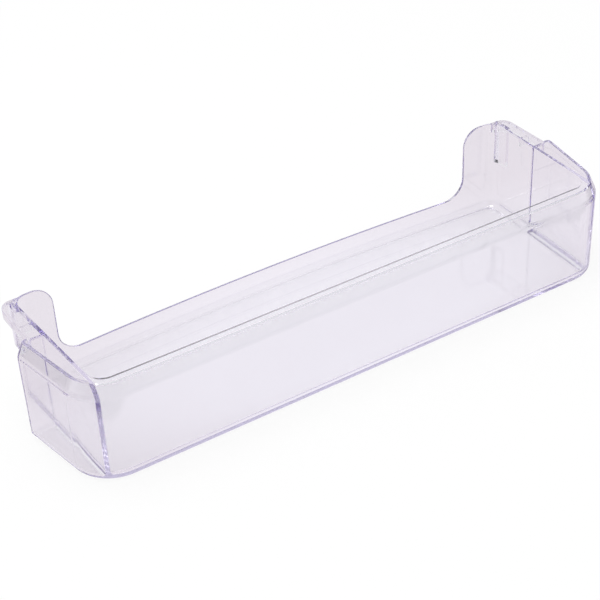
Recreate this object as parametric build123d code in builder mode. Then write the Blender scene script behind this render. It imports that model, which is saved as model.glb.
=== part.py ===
"""Door shelf of a refrigerator: one clear moulding.

A curved skin makes the front and the two wings. Two cheeks close the ends of the tray, and between each
cheek and its wing is a narrow pocket, closed at the back by a step plate. The low bowed back wall rises to
an ear at each end, and a hook outside each ear hangs the shelf on a lug of the door.

Frame: origin at the middle of the footprint, +X along the shelf, -Y to the front, +Z up. Millimetres.
"""

import os
from math import cos, radians, tan

from build123d import *

os.makedirs("parts", exist_ok=True)

# Overall sizes
shelf_depth = 140.0  # front crease to the middle of the back wall
shelf_height = 80.0
step_half_width = 232.0  # centre to the wing's top edge at the step plate
wing_length = 81.5  # front crease to the back of the step plate

# Wall thicknesses
skin = 2.5
floor = 2.5
cheek = 2.5
step_plate = 2.5
back_wall = 2.5

# Skin: front, corners and wings
wing_slant = 10.0  # degrees from the shelf's depth
corner_radius = 28.0  # of the top edge
band_height = 10.0  # leaning band above the crease
band_lean = 4.6  # how far the band leans in
skin_draft = 0.3  # how far the wall draws in from the crease to the bottom
crease_radius = 6.0  # inside, where the band turns into the wall
bottom_radius = 5.0  # outside, round the bottom
step_edge_radius = 3.0  # outside, where the wings turn into the step plates

# Lip along the top of the front
lip_width = 6.3
lip_thickness = 2.5
lip_corner_radius = 13.0

# Tray between the cheeks
pocket_width = 13.4  # cheek to wing at the back of the pocket, along the top
cheek_slant = 2.5  # degrees from the shelf's depth
tray_corner_radius = 10.0
tray_cove = 6.0  # inside, between the tray's floor and walls
pocket_cove = 3.0  # the same in the pockets
back_bow = 8.3  # how far the back wall bows out at mid-length

# Back wall and ears
back_height = 18.5
rim_radius = 1.1  # outside, along the top of the back wall and the ears
ear_width = 30.0
ear_top_radius = 16.0
ear_root_radius = 18.0

# Hooks
hook_reach = 10.5  # out from the cheek
hook_length = 49.0  # step plate to the back of the roof
hook_corner_radius = 9.0
hook_wall = 2.4
rim_height = 8.0  # rim that turns down round the roof
rib_place = 16.0  # step plate to the middle of the rib under the roof
pad_length = 13.0  # guide pad on the cheek, under the roof
pad_height = 36.0
pad_thickness = 2.6
pad_margin = 2.5  # back of the pad to the back of the roof

# Places worked out from the sizes
y_crease = -shelf_depth / 2
y_top_edge = y_crease + band_lean
y_step = y_crease + wing_length
y_tray_corner = shelf_depth / 2 - back_wall - back_bow
y_tail = y_step + hook_length
z_crease = shelf_height - band_height
over = 2.0  # cutters pass this far beyond what they cut


def cheek_face(y):
    """Half distance between the cheeks' inner faces at a depth y."""
    at_step = step_half_width - skin / cos(radians(wing_slant)) - pocket_width - cheek
    return at_step + (y - y_step) * tan(radians(cheek_slant))


def skin_offset(z):
    """How far the skin's outside stands out from its top edge at a height z."""
    if z >= z_crease:
        return band_lean * (shelf_height - z) / band_height
    return band_lean - skin_draft * (z_crease - z) / z_crease


def skin_plan(z, inset, y_rear):
    """Plan of the skin at a height, drawn in by inset and open towards y_rear."""
    out = skin_offset(z) - inset
    y_front = y_top_edge - out
    side = step_half_width + out / cos(radians(wing_slant))
    x_front = side + (y_front - y_step) * tan(radians(wing_slant))
    x_rear = side + (y_rear - y_step) * tan(radians(wing_slant))
    with BuildSketch(Plane.XY.offset(z)) as plan:
        Polygon((-x_front, y_front), (x_front, y_front), (x_rear, y_rear), (-x_rear, y_rear))
        fillet(plan.vertices().group_by(Axis.Y)[0], radius=corner_radius + out)
    return plan.sketch


def tray_plan(z, y_front, side_grow, back_grow, front_radius=0.0):
    """Plan of the tray: straight cheeks, rounded rear corners and a bowed back."""
    y_rear = y_tray_corner + back_grow
    x_front = cheek_face(y_front) + side_grow
    x_rear = cheek_face(y_rear) + side_grow
    with BuildSketch(Plane.XY.offset(z)) as plan:
        with BuildLine():
            Polyline((-x_rear, y_rear), (-x_front, y_front), (x_front, y_front), (x_rear, y_rear))
            ThreePointArc((x_rear, y_rear), (0, y_rear + back_bow), (-x_rear, y_rear))
        make_face()
        fillet(plan.vertices().group_by(Axis.Y)[-1], radius=tray_corner_radius + back_grow)
        if front_radius:
            fillet(plan.vertices().group_by(Axis.Y)[0], radius=front_radius)
    return plan.sketch


# Outside of the front: bottom, crease and top outlines joined by ruled faces
with BuildPart() as front_body:
    add([skin_plan(z, 0, y_step) for z in (0, z_crease, shelf_height)])
    loft(ruled=True)
    crease = front_body.edges().filter_by_position(Axis.Z, z_crease, z_crease)
    fillet(crease, radius=crease_radius + skin)
    rim = front_body.faces().sort_by(Axis.Z)[0].edges().sort_by(Axis.Y)[:-1]
    fillet(rim, radius=bottom_radius)
    step_edges = front_body.faces().sort_by(Axis.Y)[-1].edges().sort_by(Axis.Z)[:-1]
    fillet(step_edges, radius=step_edge_radius)

# Outside of the tray behind the step plates; it starts inside the front, ahead of the rounded step edges
with BuildPart() as rear_body:
    extrude(tray_plan(0, y_step - 2 * step_edge_radius, cheek, back_wall), amount=shelf_height)
    rim = rear_body.faces().sort_by(Axis.Z)[0].edges().sort_by(Axis.Y)[1:]
    fillet(rim, radius=bottom_radius)

# Space inside the skin, from which the tray and the pockets are cut
with BuildPart() as inside_skin:
    add([skin_plan(z, skin, shelf_depth / 2 + over) for z in (0, z_crease, shelf_height + over)])
    loft(ruled=True)
    crease = inside_skin.edges().filter_by_position(Axis.Z, z_crease, z_crease)
    fillet(crease, radius=crease_radius)

# Tray cavity below the lip
with BuildPart() as tray_space:
    extrude(tray_plan(floor, y_crease - over, 0, 0), amount=shelf_height - lip_thickness - floor)
    add(inside_skin.part, mode=Mode.INTERSECT)
    fillet(tray_space.faces().sort_by(Axis.Z)[0].edges(), radius=tray_cove)

# Mouth of the tray, with the lip's rounded corners
with BuildPart() as mouth_space:
    window = tray_plan(shelf_height - lip_thickness - over, y_top_edge + lip_width, 0, 0, lip_corner_radius)
    extrude(window, amount=lip_thickness + 2 * over)

# Pocket between the right cheek and its wing
with BuildPart() as pocket_space:
    y_back = y_step - step_plate
    y_tip = y_crease - over
    x_wide = step_half_width + shelf_depth
    with BuildSketch(Plane.XY.offset(floor)):
        Polygon(
            (cheek_face(y_back) + cheek, y_back),
            (cheek_face(y_tip) + cheek, y_tip),
            (x_wide, y_tip),
            (x_wide, y_back),
        )
    extrude(amount=shelf_height - floor + over)
    add(inside_skin.part, mode=Mode.INTERSECT)
    fillet(pocket_space.faces().sort_by(Axis.Z)[0].edges(), radius=pocket_cove)

# Notch between the ears, above the low back wall
with BuildPart() as notch:
    x_side = cheek_face(y_tray_corner) - ear_width
    x_end = x_side + ear_top_radius + over
    with BuildSketch(Plane.XZ.offset(-(shelf_depth / 2 + over))) as outline:
        Polygon(
            (-x_end, shelf_height),
            (-x_side, shelf_height),
            (-x_side, back_height),
            (x_side, back_height),
            (x_side, shelf_height),
            (x_end, shelf_height),
            (x_end, shelf_height + over),
            (-x_end, shelf_height + over),
        )
        fillet(outline.vertices().group_by(Axis.Y)[0], radius=ear_root_radius)
        shoulders = outline.vertices().group_by(Axis.Y)[-2].sort_by(Axis.X)[1:-1]
        fillet(shoulders, radius=ear_top_radius)
    extrude(amount=back_wall + back_bow + tray_corner_radius + over)


def hook_plan(z, inset):
    """Plan of the right hook from the step plate to its rounded rear corner, drawn in by inset."""
    x_rim = cheek_face(y_step) + cheek + hook_reach - inset
    y_rim = y_tail - inset
    x_ear = cheek_face(y_tray_corner) - tray_corner_radius
    with BuildSketch(Plane.XY.offset(z)) as plan:
        Polygon((x_ear, y_step), (x_rim, y_step), (x_rim, y_rim), (x_ear, y_rim))
        rear_corner = plan.vertices().group_by(Axis.X)[-1].sort_by(Axis.Y)[-1]
        fillet(rear_corner, radius=hook_corner_radius - inset)
    return plan.sketch


# Hook outside the right ear: roof with its rim, a rib across it and the guide pad, trimmed to the tray
with BuildPart() as hook:
    z_rim = shelf_height - rim_height
    extrude(hook_plan(z_rim, 0), amount=rim_height)
    extrude(hook_plan(z_rim, hook_wall), amount=rim_height - hook_wall, mode=Mode.SUBTRACT)
    x_root = cheek_face(y_step)
    x_rim = x_root + cheek + hook_reach
    y_rib_front = y_step + rib_place - hook_wall / 2
    y_rib_rear = y_rib_front + hook_wall
    with BuildSketch(Plane.XY.offset(z_rim)):
        Polygon((x_root, y_rib_front), (x_rim, y_rib_front), (x_rim, y_rib_rear), (x_root, y_rib_rear))
    extrude(amount=rim_height)
    y_pad_rear = y_tail - pad_margin
    y_pad_front = y_pad_rear - pad_length
    x_pad = cheek_face(y_pad_front) + cheek + pad_thickness
    x_ear = cheek_face(y_tray_corner) - tray_corner_radius
    with BuildSketch(Plane.XY.offset(shelf_height - pad_height)):
        Polygon((x_ear, y_pad_front), (x_pad, y_pad_front), (x_pad, y_pad_rear), (x_ear, y_pad_rear))
    extrude(amount=pad_height)
    add([tray_space.part, mouth_space.part, notch.part], mode=Mode.SUBTRACT)

with BuildPart() as door_shelf:
    add([front_body.part, rear_body.part])
    add([tray_space.part, mouth_space.part, pocket_space.part, notch.part], mode=Mode.SUBTRACT)
    mirror(pocket_space.part, about=Plane.YZ, mode=Mode.SUBTRACT)

    # Rounded outer rim of the back wall and the ears, which the hooks then cover in part
    rim = door_shelf.edges().sort_by_distance((0, shelf_depth / 2, back_height))[0]
    fillet(rim, radius=rim_radius)
    add(hook.part)
    mirror(hook.part, about=Plane.YZ)

door_shelf.part.label = "door_shelf"
export_step(door_shelf.part, "parts/door_shelf.step")
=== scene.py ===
"""Door shelf of a refrigerator, in clear plastic with a light violet tint, on a pale studio floor."""

from math import radians

import bpy
from mathutils import Matrix, Vector

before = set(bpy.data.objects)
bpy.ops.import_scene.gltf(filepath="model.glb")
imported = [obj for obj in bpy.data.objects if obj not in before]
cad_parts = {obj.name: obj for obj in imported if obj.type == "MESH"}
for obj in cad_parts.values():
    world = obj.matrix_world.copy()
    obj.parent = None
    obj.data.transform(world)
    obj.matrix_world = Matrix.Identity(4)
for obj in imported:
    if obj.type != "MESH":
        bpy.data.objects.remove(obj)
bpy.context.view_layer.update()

# Camera, in metres and degrees
CAMERA_PLACE = Vector((-0.4866, -0.7708, 0.6613))
CAMERA_HEADING = 31.36  # turned to the right of +Y
CAMERA_TILT = 34.91  # looking down
CAMERA_ROLL = 2.81  # clockwise
CAMERA_LENS = 88.44  # millimetres
SENSOR_WIDTH = 36.0  # millimetres
CAMERA_NEAR = 0.01  # nothing closer than this is drawn

# Clear plastic
PLASTIC_COLOR = (1.0, 1.0, 1.0, 1.0)
PLASTIC_CLEARNESS = 1.0
PLASTIC_IOR = 1.57
POLISH_ROUGHNESS = (0.03, 0.07)  # from the clearest to the dullest patches
POLISH_PATCHES = 45.0  # noise scale, per metre
POLISH_DETAIL = 3.0
POLISH_NOISE = (0.3, 0.7)  # stretch of the noise that is spread over the roughness
WAVE_SCALE = 28.0  # noise scale, per metre
WAVE_DETAIL = 1.0
WAVE_HEIGHT = 0.00001  # how far the walls wander, in metres
TINT_COLOR = (0.18, 0.02, 0.62, 1.0)  # what the volume lets through
TINT_DENSITY = 2.6  # per metre

# Studio white, for the floor and the sky
WHITE = (1.0, 1.0, 1.0, 1.0)

# Floor, in metres
FLOOR_SIZE = 8.0
FLOOR_GAP = 0.0006  # film of air under the shelf
FLOOR_COLOR = (0.92, 0.92, 0.92, 1.0)
FLOOR_PAINTED_POOL_LIGHT = (0.945, 0.915, 1.0, 1.0)  # painted pool of light: the floor's glow as it shows through the plastic, under the shelf
FLOOR_PAINTED_SHADE_AWAY = (0.755, 0.70, 0.77, 1.0)  # painted shade: the same glow, darker away from the painted pool
PAINTED_POOL_MIDDLE = (0.02, 0.0, 0.0)
PAINTED_POOL_RADII = (0.27, 0.105)
PAINTED_POOL_FADE = (0.45, 1.3)  # in radii
FLOOR_PAINTED_DARK_REFLECTION = (0.04, 0.04, 0.05, 1.0)  # painted dark reflection: the floor's glow made dark in front of the shelf, for reflected rays only
PAINTED_DARK_MIDDLE = (0.0255, 0.4716, 0.0)
PAINTED_DARK_RADII = (1.0, 1.0)  # so that the fade is in metres
PAINTED_DARK_FADE = (0.645, 0.658)
FLOOR_GLOW = 0.90  # share of the floor that shows as plain white
FLOOR_GLOW_THROUGH = 0.80  # the same through the plastic, where more of the shadow shows

# Sky, where 0 is the dark side towards the camera and 1 the bright side
SKY_BRIGHT_SIDE = (0.40, 0.91, -0.10)  # behind the shelf
SKY_DARK = (0.08, 0.08, 0.09, 1.0)
SKY_BRIGHT = (0.85, 0.85, 0.88, 1.0)
SKY_DARK_UP_TO = 0.08
SKY_BRIGHT_FROM = 0.40
SKY_FILL = 0.75  # strength of the even light that it gives

# Lamp, in metres and watts
LAMP_PLACE = Vector((-0.3, 0.2, 1.6))
LAMP_TARGET = Vector((0.0, 0.0, 0.0))
LAMP_SIZE = 1.0
LAMP_POWER = 12.0
LIGHT_BOUNCES = 300  # enough for light that is trapped inside the walls


def make_camera():
    """Camera turned by heading about Z, then tilt about its X, then roll about its view axis."""
    data = bpy.data.cameras.new("camera")
    data.lens = CAMERA_LENS
    data.sensor_width = SENSOR_WIDTH
    data.clip_start = CAMERA_NEAR
    camera = bpy.data.objects.new("camera", data)
    bpy.context.scene.collection.objects.link(camera)
    turn = (
        Matrix.Rotation(radians(-CAMERA_HEADING), 4, "Z")
        @ Matrix.Rotation(radians(90 - CAMERA_TILT), 4, "X")
        @ Matrix.Rotation(radians(-CAMERA_ROLL), 4, "Z")
    )
    camera.matrix_world = Matrix.Translation(CAMERA_PLACE) @ turn
    bpy.context.scene.camera = camera


def new_material(name):
    """Node-based material with an empty tree and its output node."""
    material = bpy.data.materials.new(name)
    material.use_nodes = True
    tree = material.node_tree
    tree.nodes.clear()
    output = tree.nodes.new("ShaderNodeOutputMaterial")
    return material, tree, output


def moulded_wall_group():
    """Node group for moulded walls: a slow waviness, and patches of brighter and duller polish.

    Height is a smooth noise; Roughness runs from Clearest to Dullest with a second, patchier noise.
    """
    group = bpy.data.node_groups.new("moulded_wall", "ShaderNodeTree")
    group.interface.new_socket("Vector", in_out="INPUT", socket_type="NodeSocketVector")
    for name in ("Wave Scale", "Patch Scale", "Clearest", "Dullest"):
        group.interface.new_socket(name, in_out="INPUT", socket_type="NodeSocketFloat")
    for name in ("Height", "Roughness"):
        group.interface.new_socket(name, in_out="OUTPUT", socket_type="NodeSocketFloat")
    given = group.nodes.new("NodeGroupInput")
    result = group.nodes.new("NodeGroupOutput")
    wave = group.nodes.new("ShaderNodeTexNoise")
    wave.inputs["Detail"].default_value = WAVE_DETAIL
    group.links.new(given.outputs["Vector"], wave.inputs["Vector"])
    group.links.new(given.outputs["Wave Scale"], wave.inputs["Scale"])
    group.links.new(wave.outputs["Fac"], result.inputs["Height"])
    patches = group.nodes.new("ShaderNodeTexNoise")
    patches.inputs["Detail"].default_value = POLISH_DETAIL
    group.links.new(given.outputs["Vector"], patches.inputs["Vector"])
    group.links.new(given.outputs["Patch Scale"], patches.inputs["Scale"])
    polish = group.nodes.new("ShaderNodeMapRange")
    polish.inputs["From Min"].default_value = POLISH_NOISE[0]
    polish.inputs["From Max"].default_value = POLISH_NOISE[1]
    group.links.new(patches.outputs["Fac"], polish.inputs["Value"])
    group.links.new(given.outputs["Clearest"], polish.inputs["To Min"])
    group.links.new(given.outputs["Dullest"], polish.inputs["To Max"])
    group.links.new(polish.outputs["Result"], result.inputs["Roughness"])
    return group


def clear_plastic():
    """Polished clear plastic: full transmission at the surface, violet absorption in the volume."""
    material, tree, output = new_material("clear_plastic_tinted")
    surface = tree.nodes.new("ShaderNodeBsdfPrincipled")
    surface.inputs["Base Color"].default_value = PLASTIC_COLOR
    surface.inputs["IOR"].default_value = PLASTIC_IOR
    surface.inputs["Transmission Weight"].default_value = PLASTIC_CLEARNESS
    place = tree.nodes.new("ShaderNodeTexCoord")
    moulding = tree.nodes.new("ShaderNodeGroup")
    moulding.node_tree = moulded_wall_group()
    moulding.inputs["Wave Scale"].default_value = WAVE_SCALE
    moulding.inputs["Patch Scale"].default_value = POLISH_PATCHES
    moulding.inputs["Clearest"].default_value = POLISH_ROUGHNESS[0]
    moulding.inputs["Dullest"].default_value = POLISH_ROUGHNESS[1]
    tree.links.new(place.outputs["Object"], moulding.inputs["Vector"])
    tree.links.new(moulding.outputs["Roughness"], surface.inputs["Roughness"])
    bump = tree.nodes.new("ShaderNodeBump")
    bump.inputs["Distance"].default_value = WAVE_HEIGHT
    tree.links.new(moulding.outputs["Height"], bump.inputs["Height"])
    tree.links.new(bump.outputs["Normal"], surface.inputs["Normal"])
    tree.links.new(surface.outputs["BSDF"], output.inputs["Surface"])
    volume = tree.nodes.new("ShaderNodeVolumeAbsorption")
    volume.inputs["Color"].default_value = TINT_COLOR
    volume.inputs["Density"].default_value = TINT_DENSITY
    tree.links.new(volume.outputs["Volume"], output.inputs["Volume"])
    return material


def feed(tree, socket, value):
    """Links a socket to another socket, or sets it to a constant."""
    if isinstance(value, bpy.types.NodeSocket):
        tree.links.new(value, socket)
    else:
        socket.default_value = value


def maths(tree, kind, operation, *values):
    """Maths node of a kind, fed in order with sockets or constants."""
    node = tree.nodes.new(kind)
    node.operation = operation
    for socket, value in zip(node.inputs, values):
        feed(tree, socket, value)
    return node


def blended(tree, kind, share, first, second):
    """Mix of two numbers or colours, from the first to the second as the share goes from 0 to 1."""
    node = tree.nodes.new("ShaderNodeMix")
    node.data_type = kind
    feed(tree, node.inputs["Factor"], share)
    feed(tree, node.inputs["A"], first)
    feed(tree, node.inputs["B"], second)
    return node.outputs["Result"]


def seen_directly(tree):
    """1 for camera, glossy and transmission rays, which show the studio itself; 0 for the light it gives."""
    path = tree.nodes.new("ShaderNodeLightPath")
    total = path.outputs["Is Camera Ray"]
    for ray in ("Is Glossy Ray", "Is Transmission Ray"):
        total = maths(tree, "ShaderNodeMath", "MAXIMUM", total, path.outputs[ray]).outputs[0]
    return total


def floor_zone(tree, place, middle, radii, fade):
    """0 near a middle point on the floor and 1 away from it, with a smooth step over the fade.

    The distance is that of the place from the middle, in radii along X and Y.
    """
    reach = maths(tree, "ShaderNodeVectorMath", "SUBTRACT", place, middle)
    shrink = (1 / radii[0], 1 / radii[1], 0)
    scaled = maths(tree, "ShaderNodeVectorMath", "MULTIPLY", reach.outputs["Vector"], shrink)
    distance = maths(tree, "ShaderNodeVectorMath", "LENGTH", scaled.outputs["Vector"])
    share = tree.nodes.new("ShaderNodeMapRange")
    share.interpolation_type = "SMOOTHSTEP"
    share.inputs["From Min"].default_value = fade[0]
    share.inputs["From Max"].default_value = fade[1]
    tree.links.new(distance.outputs["Value"], share.inputs["Value"])
    return share.outputs["Result"]


def floor_tone(tree, to_camera, reflected):
    """Colour of the floor's glow, by the kind of ray.

    White to the camera; through the plastic a painted pool of light under the shelf, with painted shade away
    from it; and in reflections a painted dark patch in front as well.
    """
    place = tree.nodes.new("ShaderNodeTexCoord").outputs["Object"]
    # Painted pool of light through the plastic: brighter under the shelf, painted shade away from it.
    painted_pool = floor_zone(tree, place, PAINTED_POOL_MIDDLE, PAINTED_POOL_RADII, PAINTED_POOL_FADE)
    through = blended(tree, "RGBA", painted_pool, FLOOR_PAINTED_POOL_LIGHT, FLOOR_PAINTED_SHADE_AWAY)
    # Painted dark reflection: in reflections the floor's glow turns dark in front of the shelf.
    painted_dark_zone = floor_zone(tree, place, PAINTED_DARK_MIDDLE, PAINTED_DARK_RADII, PAINTED_DARK_FADE)
    painted_dark_reflection = blended(tree, "RGBA", painted_dark_zone, through, FLOOR_PAINTED_DARK_REFLECTION)
    tone = blended(tree, "RGBA", reflected, through, painted_dark_reflection)
    return blended(tree, "RGBA", to_camera, tone, WHITE)


def floor_glow_share(tree, to_camera, reflected):
    """How much of the floor glows: less through the plastic, all of it in reflections, none as a light."""
    indirect = blended(tree, "FLOAT", reflected, FLOOR_GLOW_THROUGH, 1.0)
    shown = blended(tree, "FLOAT", to_camera, indirect, FLOOR_GLOW)
    return maths(tree, "ShaderNodeMath", "MULTIPLY", seen_directly(tree), shown).outputs[0]


def pale_floor():
    """Pale floor: a glow that the eye sees, over a share of lit surface that keeps the shadow; the glow
    holds a painted pool of light and a painted dark reflection.
    """
    material, tree, output = new_material("pale_floor")
    path = tree.nodes.new("ShaderNodeLightPath")
    to_camera = path.outputs["Is Camera Ray"]
    reflected = maths(tree, "ShaderNodeMath", "MINIMUM", path.outputs["Glossy Depth"], 1.0).outputs[0]
    glow = tree.nodes.new("ShaderNodeEmission")
    tree.links.new(floor_tone(tree, to_camera, reflected), glow.inputs["Color"])
    lit = tree.nodes.new("ShaderNodeBsdfDiffuse")
    lit.inputs["Color"].default_value = FLOOR_COLOR
    mixed = tree.nodes.new("ShaderNodeMixShader")
    tree.links.new(floor_glow_share(tree, to_camera, reflected), mixed.inputs["Fac"])
    tree.links.new(lit.outputs["BSDF"], mixed.inputs[1])
    tree.links.new(glow.outputs["Emission"], mixed.inputs[2])
    tree.links.new(mixed.outputs["Shader"], output.inputs["Surface"])
    return material


def make_floor():
    """Square floor, a film of air below the shelf."""
    half = FLOOR_SIZE / 2
    mesh = bpy.data.meshes.new("floor")
    corners = [(-half, -half), (half, -half), (half, half), (-half, half)]
    mesh.from_pydata([(x, y, -FLOOR_GAP) for x, y in corners], [], [(0, 1, 2, 3)])
    mesh.materials.append(pale_floor())
    floor = bpy.data.objects.new("floor", mesh)
    bpy.context.scene.collection.objects.link(floor)


def make_sky():
    """Studio round the object: bright behind the shelf, dark towards the camera, with an even fill."""
    world = bpy.data.worlds.new("studio")
    bpy.context.scene.world = world
    world.use_nodes = True
    tree = world.node_tree
    tree.nodes.clear()
    output = tree.nodes.new("ShaderNodeOutputWorld")
    place = tree.nodes.new("ShaderNodeTexCoord").outputs["Generated"]
    facing = maths(tree, "ShaderNodeVectorMath", "DOT_PRODUCT", place, SKY_BRIGHT_SIDE)
    spread = tree.nodes.new("ShaderNodeMapRange")
    spread.inputs["From Min"].default_value = -1.0
    tree.links.new(facing.outputs["Value"], spread.inputs["Value"])
    ramp = tree.nodes.new("ShaderNodeValToRGB")
    dark, bright = ramp.color_ramp.elements
    dark.position = SKY_DARK_UP_TO
    dark.color = SKY_DARK
    bright.position = SKY_BRIGHT_FROM
    bright.color = SKY_BRIGHT
    tree.links.new(spread.outputs["Result"], ramp.inputs["Fac"])
    shown = tree.nodes.new("ShaderNodeBackground")
    tree.links.new(ramp.outputs["Color"], shown.inputs["Color"])
    fill = tree.nodes.new("ShaderNodeBackground")
    fill.inputs["Color"].default_value = WHITE
    fill.inputs["Strength"].default_value = SKY_FILL
    mixed = tree.nodes.new("ShaderNodeMixShader")
    tree.links.new(seen_directly(tree), mixed.inputs["Fac"])
    tree.links.new(fill.outputs["Background"], mixed.inputs[1])
    tree.links.new(shown.outputs["Background"], mixed.inputs[2])
    tree.links.new(mixed.outputs["Shader"], output.inputs["Surface"])


def make_lamp():
    """Square softbox above the shelf, facing it."""
    data = bpy.data.lights.new("top_softbox", "AREA")
    data.shape = "SQUARE"
    data.size = LAMP_SIZE
    data.energy = LAMP_POWER
    lamp = bpy.data.objects.new("top_softbox", data)
    bpy.context.scene.collection.objects.link(lamp)
    lamp.location = LAMP_PLACE
    lamp.rotation_euler = (LAMP_TARGET - LAMP_PLACE).to_track_quat("-Z", "Y").to_euler()


scene = bpy.context.scene
scene.view_settings.view_transform = "Standard"
scene.cycles.max_bounces = LIGHT_BOUNCES
scene.cycles.glossy_bounces = LIGHT_BOUNCES
scene.cycles.transmission_bounces = LIGHT_BOUNCES

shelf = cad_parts["door_shelf"]
shelf.material_slots[0].material = clear_plastic()

make_camera()
make_floor()
make_sky()
make_lamp()
